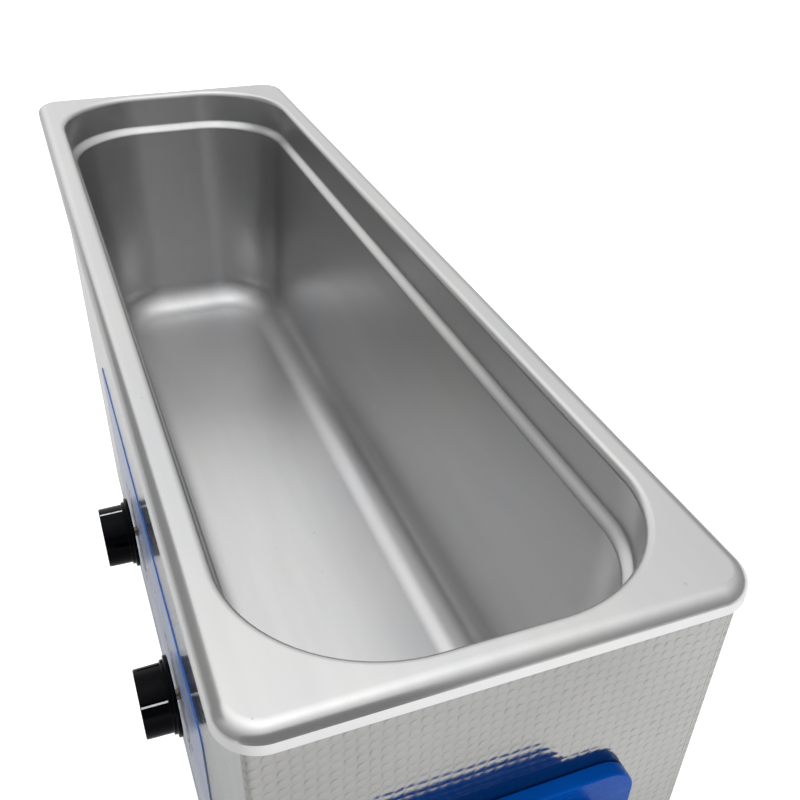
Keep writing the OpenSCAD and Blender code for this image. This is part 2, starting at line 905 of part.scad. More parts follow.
module overheat_cutout() {
    color([0.15, 0.15, 0.16])
        translate([cutout_x, body_y, tank_under - cutout_h - glue]) {
            cylinder(r = cutout_r, h = cutout_h);
            translate([-14, -4, cutout_h - 1])
                cube([28, 8, 1]);
            for (x = [-4, 3])
                translate([x, -3, -6])
                    cube([0.8, 6, 7]);
        }
}

/* Generator */

module generator_board() {
    color([0.1, 0.35, 0.2])
        translate([board_x, body_y, board_z])
            difference() {
                translate([-board[0] / 2, -board[1] / 2, 0])
                    cube(board);
                for (p = board_holes)
                    translate([p[0] - board_x, p[1] - body_y, -1])
                        cylinder(r = m3_r + 0.1, h = 4);
            }
}
module board_standoffs() {
    color([0.75, 0.68, 0.4])
        for (p = board_holes)
            translate([p[0], p[1], plate_top])
                drilled(3, 3, board_z - plate_top, m3_r + running);
}
module board_screws() {
    color([0.6, 0.6, 0.61])
        for (p = board_holes) {
            translate([p[0], p[1], board_top])
                rotate([180, 0, 0])
                    screw_up(m3_r, m3_head_r, m3_head_h, 6);
            translate([p[0], p[1], foot_h])
                screw_up(m3_r, m3_head_r, m3_head_h, 6);
        }
}
module heat_sink() {
    spine = 4;
    fin_t = 1.6;
    color([0.2, 0.2, 0.21])
        translate([sink_at[0], sink_at[1], board_top])
            linear_extrude(sink_size[2]) {
                translate([-sink_size[0] / 2, -sink_size[1] / 2])
                    square([sink_size[0], spine]);
                for (x = [-sink_size[0] / 2:6.84:sink_size[0] / 2 - fin_t + eps])
                    translate([x, -sink_size[1] / 2])
                        square([fin_t, sink_size[1]]);
            }
}
module power_transistors() {
    body = [16, 5, 20];
    color([0.08, 0.08, 0.09])
        for (x = [-20, 0, 20])
            translate([sink_at[0] + x - body[0] / 2, sink_face - body[1] - glue, board_top]) {
                translate([0, 0, 9])
                    cube(body);
                for (leg = [2, 7.4, 12.8])
                    translate([leg, 2, 0])
                        cube([1.2, 0.8, 9 + eps]);
            }
}
module transformer_core() {
    color([0.2, 0.2, 0.22])
        translate([core_at[0], core_at[1] + core_size[1] / 2, board_top])
            rotate([90, 0, 0])
                linear_extrude(core_size[1])
                    difference() {
                        translate([-core_size[0] / 2, 0])
                            square([core_size[0], core_size[2]]);
                        for (s = [-1, 1])
                            translate([s * (core_size[0] / 2 - core_limb / 2 - 5), core_size[2] / 2])
                                square([10, core_size[2] - 2 * 6], center = true);
                    }
}
module transformer_winding() {
    limb_w = core_size[0] - 2 * (core_limb / 2 + 10);
    inner = [limb_w + 0.6, core_size[1] + 0.6];
    outer = [core_size[0] - core_limb - 0.6, core_size[1] + 16];
    color([0.75, 0.5, 0.12])
        translate([core_at[0], core_at[1], board_top + 6.5])
            linear_extrude(core_size[2] - 13)
                difference() {
                    round_rect(outer[0], outer[1], 5);
                    square(inner, center = true);
                }
}
module filter_capacitors() {
    color([0.1, 0.12, 0.3])
        for (p = can_places)
            translate([p[0], p[1], board_top])
                cylinder(r = can_r, h = can_h);
}
module film_capacitors() {
    body = [9, 26, 18];
    color([0.75, 0.6, 0.15])
        for (x = film_places)
            translate([x - body[0] / 2, body_y - 20 - body[1] / 2, board_top])
                cube(body);
}
module terminal_blocks() {
    color([0.1, 0.4, 0.25])
        for (p = block_places)
            translate([p[0] - block_size[0] / 2, p[1] - block_size[1] / 2, board_top])
                difference() {
                    cube(block_size);
                    for (x = [0.25, 0.75])
                        translate([block_size[0] * x, block_size[1] / 2, block_size[2] - 4])
                            cylinder(r = 1.8, h = 5);
                }
}
module mains_leads() {
    color([0.45, 0.25, 0.12]) {
        tube(live_lead, lead_r);
        tube(neutral_lead, lead_r);
    }
}

/* Fan */

fan_back = rear_y - sheet;
module fan_frame() {
    strut = 3;
    color([0.06, 0.06, 0.07])
        translate([fan_x, fan_back, fan_z]) {
            difference() {
                upright(0, fan_t)
                    round_rect(fan_size, fan_size, 4);
                bar_y(fan_duct_r, -fan_t - 1, 1);
                for (x = [-1, 1], z = [-1, 1])
                    translate([x * fan_hole, 0, z * fan_hole])
                        bar_y(m4_r + 0.2, -fan_t - 1, 1);
            }
            for (a = [30, 150, 270])
                rotate([0, a, 0])
                    translate([fan_hub_r - 2, -fan_t, -2])
                        cube([fan_duct_r - fan_hub_r + 3, strut, 4]);
            difference() {
                union() {
                    bar_y(fan_hub_r, -fan_t, -fan_t + strut);
                    bar_y(fan_tube_r, -fan_t + strut - eps, -7);
                }
                bar_y(fan_spindle_r + running, -fan_t + 1, 0);
            }
        }
}
module fan_rotor() {
    hub_t = 18;
    front = -3;
    cup_wall_t = 2;
    color([0.07, 0.07, 0.08])
        translate([fan_x, fan_back, fan_z]) {
            difference() {
                bar_y(fan_hub_r, front - hub_t, front);
                bar_y(fan_hub_r - cup_wall_t, front - hub_t - 1, front - cup_wall_t);
            }
            bar_y(fan_spindle_r, -fan_t + 2, front - cup_wall_t + eps);
            for (i = [0:fan_blades - 1])
                rotate([0, i * 360 / fan_blades, 0])
                    intersection() {
                        translate([fan_hub_r - 1, front - hub_t / 2, 0])
                            rotate([35, 0, 0])
                                translate([0, -11, -0.8])
                                    cube([fan_blade_r, 22, 1.6]);
                        difference() {
                            bar_y(fan_blade_r, front - hub_t + 1, front - 0.5);
                            bar_y(fan_hub_r - 1, front - hub_t, front);
                        }
                    }
        }
}
module fan_guard() {
    ring_y = guard_y + 1.5;
    eyelet_r = m4_r + 1.4;
    spoke_l = 2 * (fan_hole * sqrt(2) - eyelet_r);
    color([0.8, 0.8, 0.82])
        translate([fan_x, 0, fan_z]) {
            for (r = [9:7:37])
                translate([0, ring_y, 0])
                    rotate([90, 0, 0])
                        rotate_extrude()
                            translate([r, 0])
                                circle(guard_wire_r, $fn = 24);
            for (a = [45, 135])
                rotate([0, a, 0])
                    translate([-spoke_l / 2, guard_y, 0])
                        rotate([0, 90, 0])
                            cylinder(r = guard_wire_r, h = spoke_l, $fn = 24);
            for (x = [-1, 1], z = [-1, 1])
                translate([x * fan_hole, guard_y, z * fan_hole])
                    rotate([90, 0, 0])
                        rotate_extrude()
                            translate([eyelet_r, 0])
                                circle(guard_wire_r, $fn = 24);
        }
}
module fan_screws() {
    color([0.6, 0.6, 0.61])
        for (p = fan_places)
            translate([p[0], 0, p[1]]) {
                translate([0, guard_y + guard_wire_r + 0.1, 0])
                    rotate([90, 0, 0])
                        screw_up(m4_r, m4_head_r + 0.6, m4_head_h, 35);
                translate([0, fan_back - fan_t, 0])
                    rotate([90, 0, 0])
                        nut(m4_r, 7, 3.2);
            }
}

/* Mains inlet with switch and fuse drawer */

module inlet_box(mid, w, h, deep) {
    face = rear_y + inlet_flange[1];
    translate([inlet_x - w / 2, face - deep, inlet_z + mid - h / 2])
        cube([w, deep + 1, h]);
}
module pin_set(grow) {
    blade = [2 + grow, 4 + grow];
    face = rear_y + inlet_flange[1];
    for (p = [[-7, -1.5], [0, 2.5], [7, -1.5]])
        translate([inlet_x + p[0], face - 3, inlet_z + socket_mid + p[1]])
            rotate([90, 0, 0])
                linear_extrude(42)
                    square(blade, center = true);
}
module rocker_pins(r) {
    translate([inlet_x - rocker_w / 2 - 2, rear_y + 1, inlet_z + rocker_mid])
        rotate([0, 90, 0])
            cylinder(r = r, h = rocker_w + 4);
}
module inlet_body() {
    corner = 4;
    color([0.05, 0.05, 0.055])
        difference() {
            union() {
                translate([inlet_x, 0, inlet_z])
                    upright(rear_y + inlet_flange[1], inlet_flange[1])
                        round_rect(inlet_flange[0], inlet_flange[2], corner);
                translate([inlet_x, rear_y + (eps - inlet_case[1]) / 2, inlet_z])
                    cube([inlet_case[0], inlet_case[1] + eps, inlet_case[2]], center = true);
            }
            difference() {
                inlet_box(socket_mid, socket_w, socket_h, socket_deep);
                for (s = [-1, 1])
                    translate([inlet_x + s * socket_w / 2, rear_y, inlet_z + socket_mid + socket_h / 2])
                        rotate([0, 45, 0])
                            cube([6, 60, 6], center = true);
            }
            inlet_box(rocker_mid, rocker_w + 2 * loose, rocker_open, 16);
            inlet_box(drawer_mid, drawer_w + 2 * loose, drawer_h + 2 * loose, drawer_deep + 2);
            pin_set(0.1);
            rocker_pins(rocker_pin_r + running);
            for (x = [-1, 1])
                translate([inlet_x + x * inlet_screw_x, 0, inlet_z])
                    bar_y(m3_r + 0.1, rear_y - 1, rear_y + 5);
        }
}
module inlet_pins() {
    color([0.8, 0.7, 0.45])
        pin_set(0);
}
module inlet_screws() {
    color([0.6, 0.6, 0.61])
        for (x = [-1, 1])
            translate([inlet_x + x * inlet_screw_x, 0, inlet_z]) {
                translate([0, rear_y + inlet_flange[1], 0])
                    rotate([90, 0, 0])
                        screw_up(m3_r, m3_head_r, m3_head_h, 10);
                translate([0, rear_y - sheet, 0])
                    rotate([90, 0, 0])
                        nut(m3_r, 5.5, 2.4);
            }
}
module power_rocker() {
    low = -5;
    high = 3.4;
    dip = 1.2;
    color([0.05, 0.35, 0.12]) {
        translate([inlet_x, rear_y + 1, inlet_z + rocker_mid])
            rotate([rocker_tilt, 0, 0])
                translate([-rocker_w / 2, 0, 0])
                    rotate([90, 0, 90])
                        linear_extrude(rocker_w)
                            polygon([
                                [low, -rocker_half], [high, -rocker_half], [high - dip, 0],
                                [high, rocker_half], [low, rocker_half]
                            ]);
        rocker_pins(rocker_pin_r);
    }
}
module fuse_drawer() {
    face = rear_y + inlet_flange[1];
    color([0.08, 0.08, 0.09])
        translate([inlet_x, face, inlet_z + drawer_mid])
            difference() {
                translate([-drawer_w / 2, -drawer_deep, -drawer_h / 2])
                    cube([drawer_w, drawer_deep + 0.8, drawer_h]);
                for (x = [-5.4, 5.4])
                    translate([x - 3, -drawer_deep - 1, -3])
                        cube([6, 22, drawer_h]);
                translate([-4, -0.4, drawer_h / 2 - 1.5])
                    cube([8, 3, 3]);
            }
}
module fuses() {
    face = rear_y + inlet_flange[1];
    color([0.85, 0.87, 0.88])
        for (x = [-5.4, 5.4])
            translate([inlet_x + x, face - drawer_deep + 10, inlet_z + drawer_mid - 0.4])
                bar_y(2.5, -10, 10);
}

tank();
rim_seal();
rim_studs();
rim_nuts();
corner_gussets();
housing_shell();
rear_panel();
rear_panel_screws();
base_plate();
base_screws();
feet();
foot_bolts();
front_label();
pilot_lamps();
handle_right();
handle_left();
handle_screws();
timer_knob();
timer_pointer();
timer_shaft();
timer_body();
thermostat_knob();
thermostat_pointer();
thermostat_shaft();
thermostat_body();
control_studs();
control_nuts();
thermostat_bulb();
thermostat_capillary();
bulb_clips();
transducer_horns();
piezo_rings();
electrode_discs();
transducer_back_masses();
transducer_bolts();
transducer_leads();
heater_pads();
overheat_cutout();
generator_board();
board_standoffs();
board_screws();
heat_sink();
power_transistors();
transformer_core();
transformer_winding();
filter_capacitors();
film_capacitors();
terminal_blocks();
mains_leads();
fan_frame();
fan_rotor();
fan_guard();
fan_screws();
inlet_body();
inlet_pins();
inlet_screws();
power_rocker();
fuse_drawer();
fuses();
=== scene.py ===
"""Looks of the bench-top ultrasonic cleaner, built around its CAD frame. Lengths are in millimetres."""

import math

import bmesh
import bpy
import numpy as np
from mathutils import Matrix, Vector


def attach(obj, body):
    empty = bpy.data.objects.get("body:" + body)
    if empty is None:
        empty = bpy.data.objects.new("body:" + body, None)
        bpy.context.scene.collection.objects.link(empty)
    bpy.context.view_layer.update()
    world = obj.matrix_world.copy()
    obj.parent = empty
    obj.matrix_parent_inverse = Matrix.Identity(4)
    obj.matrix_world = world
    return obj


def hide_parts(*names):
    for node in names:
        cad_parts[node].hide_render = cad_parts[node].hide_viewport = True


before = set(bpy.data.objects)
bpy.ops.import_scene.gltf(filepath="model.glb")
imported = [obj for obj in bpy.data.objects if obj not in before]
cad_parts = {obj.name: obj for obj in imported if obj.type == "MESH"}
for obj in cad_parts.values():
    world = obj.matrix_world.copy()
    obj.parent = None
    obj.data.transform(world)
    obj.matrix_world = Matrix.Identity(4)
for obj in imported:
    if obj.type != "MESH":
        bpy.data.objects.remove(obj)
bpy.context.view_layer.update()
MM = 0.001

# Places shared with the CAD source.
BODY_Y = 7.6  # The middle of the tank and the housing. The knobs push it back from the box's middle.
FRONT_Y = BODY_Y - 75
END_X = 260.5
RIM_Z = 322
KNOB_Z = 107
TIMER_X = -73
THERMOSTAT_X = 65
THERMOSTAT_ANGLE = 47
KNOB_Y = FRONT_Y - 2.7  # The back of the knobs' skirts.
HANDLE_TOP = 252
LABEL_Z = 113
LABEL_SIZE = (312, 142)
LABEL_CORNER = 8
LABEL_THICK = 0.5
LAMPS = [(-14, 127), (6, 127)]  # X and Z


# ---------------------------------------------------------------- materials

class Look:
    """A Principled material and the nodes that vary it over the surface."""

    def __init__(self, name, metallic=0.0, roughness=0.4, **sockets):
        self.material = bpy.data.materials.new(name)
        self.material.use_nodes = True
        self.tree = self.material.node_tree
        self.shader = self.tree.nodes["Principled BSDF"]
        self.shader.inputs["Metallic"].default_value = metallic
        self.shader.inputs["Roughness"].default_value = roughness
        for key, value in sockets.items():
            self.shader.inputs[key.replace("_", " ")].default_value = value
        self.coords = self.node("ShaderNodeTexCoord").outputs["Object"]

    def node(self, kind, links=(), **settings):
        """A new node: settings are its properties, and links says what each socket gets."""
        made = self.tree.nodes.new(kind)
        for key, value in settings.items():
            setattr(made, key, value)
        for socket, value in dict(links).items():
            self.feed(made.inputs[socket], value)
        return made

    def feed(self, socket, value):
        """Gives a socket another node's output, or a plain value."""
        if isinstance(value, bpy.types.NodeSocket):
            self.tree.links.new(value, socket)
        else:
            socket.default_value = value

    def math(self, operation, a, b=0.0):
        return self.node("ShaderNodeMath", {0: a, 1: b}, operation=operation).outputs[0]

    def stretched(self, scale):
        return self.node("ShaderNodeMapping", {"Vector": self.coords, "Scale": scale}).outputs["Vector"]

    def noise(self, scale, detail=3.0, rough=0.55, stretch=None):
        vector = self.coords if stretch is None else self.stretched(stretch)
        links = {"Vector": vector, "Scale": scale, "Detail": detail, "Roughness": rough}
        return self.node("ShaderNodeTexNoise", links).outputs["Fac"]

    def spread(self, value, low, high, start=0.3, end=0.7):
        """Maps start..end to low..high, and holds both ends."""
        links = {"Value": value, "From Min": start, "From Max": end, "To Min": low, "To Max": high}
        return self.node("ShaderNodeMapRange", links).outputs["Result"]

    def ramp(self, value, stops):
        made = self.node("ShaderNodeValToRGB", {"Fac": value})
        elements = made.color_ramp.elements
        while len(elements) < len(stops):
            elements.new(0.5)
        for element, (place, colour) in zip(elements, stops):
            element.position = place
            element.color = (*colour, 1)
        return made.outputs["Color"]

    def blend(self, fac, a, b):
        return self.node("ShaderNodeMix", {0: fac, 6: a, 7: b}, data_type="RGBA").outputs[2]

    def bump(self, height, depth, strength=1.0):
        """A bump as deep as depth in millimetres."""
        links = {"Height": height, "Distance": depth * MM, "Strength": strength}
        return self.node("ShaderNodeBump", links).outputs["Normal"]

    def wear(self, **values):
        """Feeds the shader's sockets and hands back the material."""
        for key, value in values.items():
            self.feed(self.shader.inputs[key.replace("_", " ")], value)
        return self.material


def shade(colour, k):
    """A colour made k times as bright."""
    return tuple(min(1.0, max(0.0, c * k)) for c in colour)


def grained(name, colour, metallic, rough, vary, scale, fine, depth, stretch=None, **sockets):
    """A material with a cloudy colour, an uneven gloss and a fine grain.

    vary is the clouds' share of the colour, scale and fine are the sizes of the clouds and of the grain.
    """
    gloss_scale = scale * 2.3
    look = Look(name, metallic, **sockets)
    clouds = look.noise(scale, 4, stretch=stretch)
    grain = look.noise(fine, 2, stretch=stretch)
    colours = look.ramp(clouds, [(0.3, shade(colour, 1 - vary)), (0.7, shade(colour, 1 + vary))])
    return look.wear(
        Base_Color=colours,
        Roughness=look.spread(look.noise(gloss_scale, 3, stretch=stretch), *rough),
        Normal=look.bump(grain, depth),
    )


def satin_steel():
    """Deep-drawn stainless steel: a soft blur, faint drawing marks along the tank and a few specks."""
    cool, warm = (0.650, 0.655, 0.668), (0.700, 0.695, 0.686)
    streak_grey, speck_grey = (0.54, 0.54, 0.54, 1), (0.28, 0.27, 0.27, 1)
    polish = 0.11
    look = Look("satin_steel", 1.0)
    clouds = look.noise(11, 3)
    streaks = look.noise(160, 4, 0.5, (0.08, 1.0, 0.6))
    grain = look.noise(1300, 2)
    specks = look.spread(look.noise(420, 1), 0, 1, 0.79, 0.81)
    steel = look.ramp(clouds, [(0.3, cool), (0.7, warm)])
    steel = look.blend(look.spread(streaks, 0, 0.14), steel, streak_grey)
    steel = look.blend(look.math("MULTIPLY", specks, 0.3), steel, speck_grey)
    rough = look.math("ADD", look.spread(clouds, 0.31, 0.36), look.spread(streaks, -0.015, 0.02))
    # The rim's outer edge faces away from the middle, and is polished brighter than the inside.
    normal = look.node("ShaderNodeTexCoord").outputs["Normal"]
    links = {0: normal, 1: look.stretched((1, 1, 0))}
    outward = look.node("ShaderNodeVectorMath", links, operation="DOT_PRODUCT").outputs["Value"]
    rough = look.math("SUBTRACT", rough, look.spread(outward, 0, polish, 0, 0.02))
    fine = look.math("ADD", streaks, grain)
    return look.wear(Base_Color=steel, Roughness=rough, Normal=look.bump(fine, 0.004, 0.6))


def embossed_steel():
    """Bright sheet embossed all over with a square grid of small shallow domes."""
    across, up = 3.7, 3.9
    dark_sheet, light_sheet = (0.335, 0.333, 0.322), (0.39, 0.388, 0.376)
    groove_shade_grey, shadow_grey = (0.16, 0.16, 0.17, 1), (0.12, 0.12, 0.13, 1)
    dome_depth, unevenness = 0.052, 1.8
    look = Look("embossed_steel", 1.0)

    # Place along the sheet: Y on the ends, X on the front and rear.
    place = look.node("ShaderNodeSeparateXYZ", {0: look.coords}).outputs
    normal = look.node("ShaderNodeTexCoord").outputs["Normal"]
    facing = look.node("ShaderNodeSeparateXYZ", {0: normal}).outputs["X"]
    on_end = look.math("GREATER_THAN", look.math("ABSOLUTE", facing), 0.7)
    links = {0: on_end, 2: place["X"], 3: place["Y"]}
    along = look.node("ShaderNodeMix", links, data_type="FLOAT").outputs[0]

    # Place within one cell of the grid, from the middle of its dome. The rows run a little unevenly.
    wobble = look.math("MULTIPLY", look.math("SUBTRACT", look.noise(110, 2), 0.5), unevenness * MM)
    u = look.math("DIVIDE", look.math("ADD", along, wobble), across * MM)
    v = look.math("DIVIDE", look.math("SUBTRACT", place["Z"], wobble), up * MM)
    whole_cells = 1000  # Added so that the fraction is never of a negative number.
    du = look.math("SUBTRACT", look.math("FRACT", look.math("ADD", u, whole_cells)), 0.5)
    dv = look.math("SUBTRACT", look.math("FRACT", look.math("ADD", v, whole_cells)), 0.5)
    away = look.math("SQRT", look.math("ADD", look.math("MULTIPLY", du, du), look.math("MULTIPLY", dv, dv)))
    dome = look.spread(away, 1, 0, 0.16, 0.60)

    # Painted shadow: each dome's groove is darkened on one side, as if lit from the other, and painted
    # shade darkens the groove all round.
    shadow_side = look.spread(look.math("SUBTRACT", dv, du), 0, 1, 0.24, 0.54)
    ring = look.math("MULTIPLY", look.spread(away, 0, 1, 0.30, 0.44), look.spread(away, 1, 0, 0.50, 0.68))
    shadow = look.math("MULTIPLY", ring, shadow_side)
    steel = look.ramp(look.noise(14, 4), [(0.3, dark_sheet), (0.7, light_sheet)])
    # Painted shade in the groove round each dome.
    steel = look.blend(look.math("MULTIPLY", ring, 0.06), steel, groove_shade_grey)
    # A noise varies how dark the painted shadow is from dome to dome.
    shadow_strength = look.spread(look.noise(420, 3), 0.0, 0.50)
    steel = look.blend(look.math("MULTIPLY", shadow, shadow_strength), steel, shadow_grey)
    height = look.math("ADD", dome, look.math("MULTIPLY", look.noise(700, 2), 0.22))
    return look.wear(
        Base_Color=steel,
        Roughness=look.spread(look.noise(40, 3), 0.09, 0.14),
        Normal=look.bump(height, dome_depth, 0.8),
    )


def label_film():
    """Printed film under a clear gloss: blue at the top edge, fading down to silver."""
    look = Look("label_film", 0.0, 0.3, Specular_IOR_Level=0.25, Coat_Weight=0.25, Coat_Roughness=0.08)
    z = look.node("ShaderNodeSeparateXYZ", {0: look.coords}).outputs["Z"]
    half = LABEL_SIZE[1] / 2
    down = look.spread(z, 1, 0, (LABEL_Z - half) * MM, (LABEL_Z + half) * MM)
    uneven = look.math("MULTIPLY", look.math("SUBTRACT", look.noise(60, 3), 0.5), 0.03)
    fade = look.math("ADD", down, uneven)
    film = look.ramp(fade, [
        (0.0, (0.04, 0.13, 0.45)), (0.02, (0.09, 0.18, 0.45)), (0.06, (0.15, 0.22, 0.43)),
        (0.16, (0.20, 0.25, 0.40)), (0.5, (0.25, 0.28, 0.40)), (0.8, (0.38, 0.41, 0.49)),
        (1.0, (0.28, 0.36, 0.52)),
    ])
    return look.wear(
        Base_Color=film,
        Roughness=look.spread(look.noise(80, 3), 0.28, 0.36),
        Normal=look.bump(look.noise(1400, 2), 0.003),
    )


def blue_plastic():
    """Moulded blue plastic with a few light scuffs."""
    deep, light, scuffed = (0.0004, 0.070, 0.40), (0.0008, 0.092, 0.47), (0.10, 0.25, 0.62, 1)
    look = Look("blue_plastic", 0.0, 0.3, Specular_IOR_Level=0.09, Specular_Tint=(0.10, 0.42, 1.0, 1))
    scuffs = look.spread(look.noise(400, 2, 0.6, (1, 0.15, 1)), 0, 1, 0.66, 0.74)
    colours = look.ramp(look.noise(35, 4), [(0.3, deep), (0.7, light)])
    colours = look.blend(look.math("MULTIPLY", scuffs, 0.12), colours, scuffed)
    return look.wear(
        Base_Color=colours,
        Roughness=look.spread(look.noise(90, 3), 0.22, 0.34),
        Normal=look.bump(look.noise(1100, 2), 0.012),
    )


def gloss_black():
    """The knobs' plastic, nearly without reflections, as in the photograph."""
    deep, light = (0.0003, 0.0005, 0.0012), (0.0009, 0.0012, 0.0026)
    look = Look("black_plastic", 0.0, 0.15, Specular_IOR_Level=0.06)
    return look.wear(
        Base_Color=look.ramp(look.noise(60, 4), [(0.3, deep), (0.7, light)]),
        Roughness=look.spread(look.noise(160, 4), 0.08, 0.2),
        Normal=look.bump(look.noise(900, 2), 0.006),
    )


# Colour, metallic, range of roughness, the clouds' share and scale, the grain's scale and its depth in
# millimetres, and for materials with a direction how their pattern is stretched.
GRAINED = {
    "plain_steel": ((0.52, 0.525, 0.53), 1, (0.26, 0.36), 0.05, 30, 700, 0.01, (1, 1, 0.08)),
    "zinc_steel": ((0.60, 0.59, 0.57), 1, (0.24, 0.4), 0.10, 300, 1500, 0.02),
    "black_rubber": ((0.014, 0.014, 0.015), 0, (0.6, 0.8), 0.25, 120, 1500, 0.05),
    "grey_silicone": ((0.05, 0.05, 0.055), 0, (0.5, 0.65), 0.15, 120, 1200, 0.03),
    "white_inlay": ((0.80, 0.80, 0.78), 0, (0.35, 0.5), 0.05, 300, 1600, 0.01),
    "lamp_lens": ((0.36, 0.13, 0.02), 0, (0.08, 0.16), 0.2, 500, 2400, 0.01),
    "shaft_brass": ((0.30, 0.27, 0.23), 1, (0.2, 0.34), 0.12, 400, 1800, 0.02, (1, 0.1, 1)),
    "control_case": ((0.62, 0.60, 0.52), 0, (0.4, 0.55), 0.06, 90, 900, 0.02),
    "dark_case": ((0.035, 0.035, 0.04), 0, (0.35, 0.5), 0.15, 110, 1300, 0.03),
    "copper_tube": ((0.72, 0.38, 0.22), 1, (0.22, 0.38), 0.12, 200, 1500, 0.02),
    "horn_aluminium": ((0.68, 0.69, 0.70), 1, (0.25, 0.4), 0.06, 90, 1500, 0.02, (1, 1, 6)),
    "piezo_ceramic": ((0.20, 0.19, 0.16), 0, (0.5, 0.65), 0.1, 200, 1500, 0.02),
    "back_steel": ((0.36, 0.36, 0.37), 1, (0.3, 0.45), 0.08, 90, 1500, 0.02, (1, 1, 6)),
    "heater_film": ((0.42, 0.17, 0.05), 0, (0.3, 0.45), 0.12, 90, 900, 0.02),
    "board_green": ((0.02, 0.12, 0.05), 0, (0.25, 0.4), 0.2, 200, 1200, 0.01),
    "sink_aluminium": ((0.05, 0.05, 0.055), 0.8, (0.4, 0.55), 0.15, 100, 1500, 0.02),
    "ferrite": ((0.05, 0.05, 0.052), 0.2, (0.4, 0.6), 0.2, 250, 1500, 0.03),
    "winding_tape": ((0.62, 0.36, 0.04), 0, (0.25, 0.4), 0.15, 250, 900, 0.02),
    "capacitor_sleeve": ((0.02, 0.025, 0.10), 0, (0.25, 0.4), 0.15, 200, 1200, 0.01),
    "film_box": ((0.60, 0.42, 0.06), 0, (0.3, 0.45), 0.1, 200, 1200, 0.01),
    "terminal_green": ((0.03, 0.22, 0.09), 0, (0.35, 0.5), 0.12, 200, 1200, 0.01),
    "lead_red": ((0.50, 0.02, 0.015), 0, (0.35, 0.5), 0.1, 200, 1200, 0.01),
    "lead_brown": ((0.16, 0.06, 0.025), 0, (0.35, 0.5), 0.1, 200, 1200, 0.01),
    "guard_chrome": ((0.72, 0.73, 0.74), 1, (0.08, 0.18), 0.05, 200, 1500, 0.01),
    "pin_brass": ((0.66, 0.62, 0.50), 1, (0.18, 0.3), 0.1, 400, 1800, 0.01),
    "rocker_green": ((0.01, 0.16, 0.035), 0, (0.12, 0.24), 0.15, 300, 1500, 0.01),
    "fuse_glass": ((0.72, 0.76, 0.76), 0.3, (0.06, 0.14), 0.1, 300, 1500, 0.01),
    "moulded_black": ((0.018, 0.018, 0.020), 0, (0.28, 0.42), 0.2, 110, 1300, 0.02),
    "print_ink": ((0.01, 0.018, 0.06), 0, (0.3, 0.42), 0.15, 500, 1600, 0.004),
    "border_ink": ((0.006, 0.060, 0.26), 0, (0.2, 0.3), 0.12, 400, 1600, 0.004),
}
COATS = {
    "lamp_lens": {"Coat_Weight": 0.8, "Transmission_Weight": 0.25},
    "rocker_green": {"Coat_Weight": 0.4},
    "border_ink": {"Coat_Weight": 0.6},
}
LOOKS = {
    "satin_steel": satin_steel(),
    "embossed_steel": embossed_steel(),
    "label_film": label_film(),
    "blue_plastic": blue_plastic(),
    "black_plastic": gloss_black(),
}
for name, values in GRAINED.items():
    LOOKS[name] = grained(name, *values, **COATS.get(name, {}))

# The CAD names its materials after their looks.
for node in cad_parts.values():
    for i, old in enumerate(node.data.materials):
        node.data.materials[i] = LOOKS[old.name.split(".")[0]]
for name in ("fan_frame", "fan_rotor", "inlet_body", "fuse_drawer"):
    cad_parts[name].data.materials[0] = LOOKS["moulded_black"]


# ---------------------------------------------------------------- meshes

# Points closer than this become one.
WELD = 0.0001


def mesh_in_mm(name, points, faces):
    """A mesh from points in millimetres."""
    mesh = bpy.data.meshes.new(name)
    mesh.from_pydata([tuple(c * MM for c in p) for p in points], [], faces)
    return mesh


def finish_mesh(name, points, faces, slot, body, nodes=(),
                look=None, place=None, crease=35, round_edge=0.0):
    """Makes a piece from points in millimetres, welds it, and puts it on its body.

    nodes are the CAD nodes it replaces. look is its material where that isn't the slot's own. crease is
    the angle from which an edge stays sharp, and round_edge the width of the bevel on such edges.
    """
    mesh = mesh_in_mm(name, points, faces)
    made = bmesh.new()
    made.from_mesh(mesh)
    bmesh.ops.remove_doubles(made, verts=made.verts, dist=WELD * MM)
    bmesh.ops.recalc_face_normals(made, faces=made.faces)
    made.to_mesh(mesh)
    made.free()
    if place is not None:
        mesh.transform(place)
        if place.determinant() < 0:
            mesh.flip_normals()
    mesh.shade_smooth()
    mesh.set_sharp_from_angle(angle=math.radians(crease))
    mesh.materials.append(LOOKS[look or slot])
    piece = bpy.data.objects.new(name, mesh)
    bpy.context.scene.collection.objects.link(piece)
    if round_edge:
        bevel = piece.modifiers.new("edges", "BEVEL")
        bevel.width = round_edge * MM
        bevel.segments = 3
        bevel.limit_method = "ANGLE"
        bevel.angle_limit = math.radians(crease)
    weights = piece.modifiers.new("normals", "WEIGHTED_NORMAL")
    weights.keep_sharp = not round_edge
    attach(piece, body)
    if nodes:
        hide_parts(*nodes)


def loft(rings, caps=True):
    """Faces between closed rings that have the same number of points."""
    n = len(rings[0])
    points = [p for ring in rings for p in ring]
    faces = []
    for k in range(len(rings) - 1):
        for i in range(n):
            j = (i + 1) % n
            faces.append((k * n + i, k * n + j, (k + 1) * n + j, (k + 1) * n + i))
    if caps:
        faces.append(tuple(range(n)))
        faces.append(tuple(range((len(rings) - 1) * n, len(rings) * n)))
    return points, faces


def revolve(profile, steps):
    """Turns (radius, height) points, from the Z axis and back to it, about that axis."""
    angles = [2 * math.pi * i / steps for i in range(steps)]
    rings = [[(r * math.cos(a), r * math.sin(a), z) for a in angles] for r, z in profile]
    return loft(rings, caps=False)


def arc(cx, cy, r, start, end, steps=8):
    """Points along an arc, its angles in degrees."""
    angles = [math.radians(start + (end - start) * i / steps) for i in range(steps + 1)]
    return [(cx + r * math.cos(a), cy + r * math.sin(a)) for a in angles]


